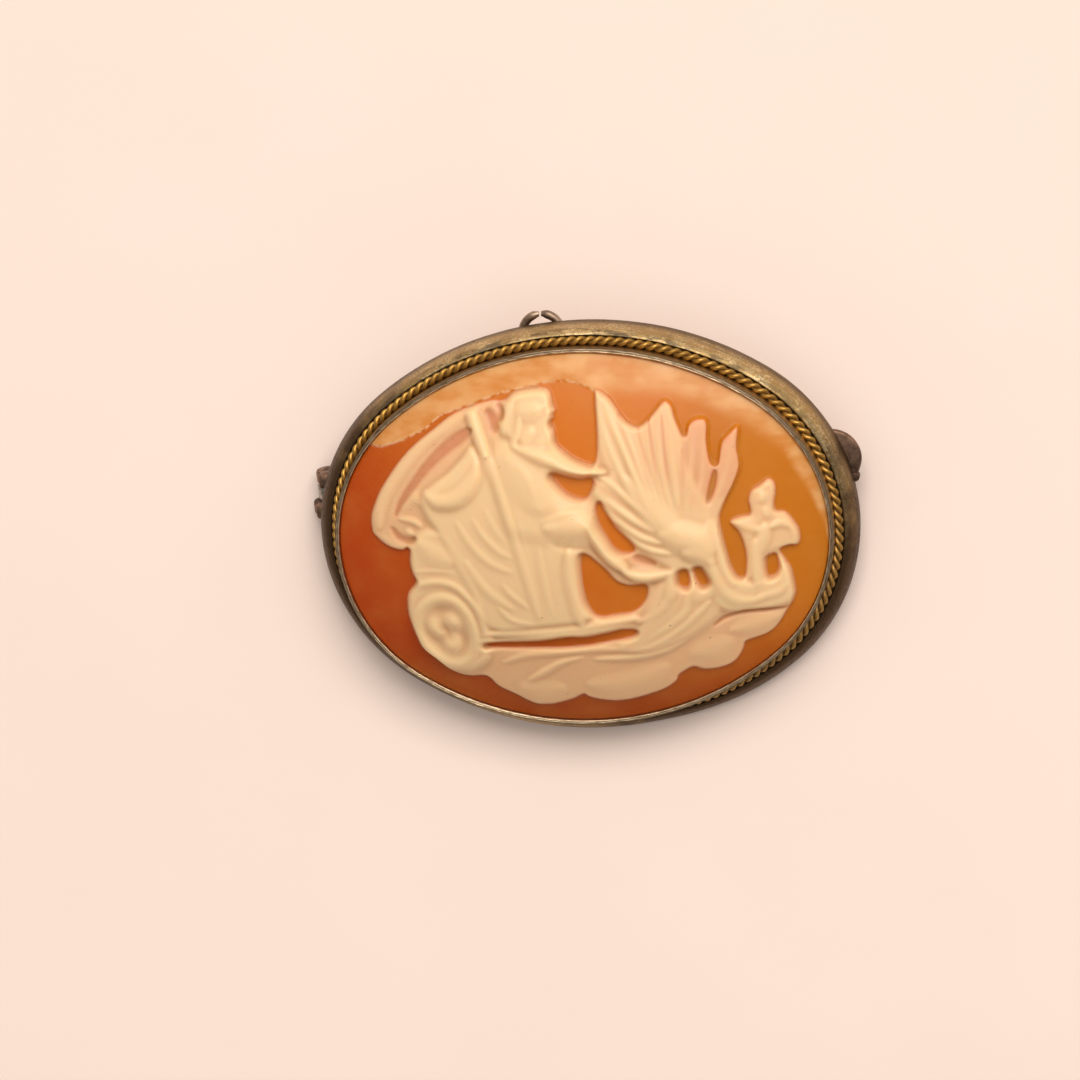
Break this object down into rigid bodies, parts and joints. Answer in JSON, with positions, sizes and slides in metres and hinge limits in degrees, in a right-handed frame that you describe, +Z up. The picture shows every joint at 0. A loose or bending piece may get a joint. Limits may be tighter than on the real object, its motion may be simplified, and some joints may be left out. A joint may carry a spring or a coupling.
{
  "type": "cameo brooch",
  "caption": "Oval shell cameo brooch with a carved chariot scene, a worn gilt frame with twisted wire, a pin with hinge and catch, and a small open ring.",
  "frame": {"origin": "middle of the box's base, on the surface that the brooch lies on", "axes": "+X along the oval's length to the right of the carved scene, +Y towards the top of the scene, +Z up; the brooch lies face up on its lower rim, hinge and catch"},
  "size_m": [0.0464, 0.0366, 0.0125],
  "materials": {
    "worn_gilt_silver": "worn, tarnished gilding over silver",
    "gilt_wire": "gilt, dark between the strands",
    "carved_shell": "polished orange ground under a cream carved layer",
    "pin_metal": "drawn wire, slightly dull",
    "dark_wire": "dull and tarnished"
  },
  "bodies": {
    "root": {"frame": "worn_gilt_silver", "rope_wire": "gilt_wire", "cameo": "carved_shell", "pin_stem": "pin_metal", "pendant_ring": "dark_wire"}
  },
  "joints": []
}
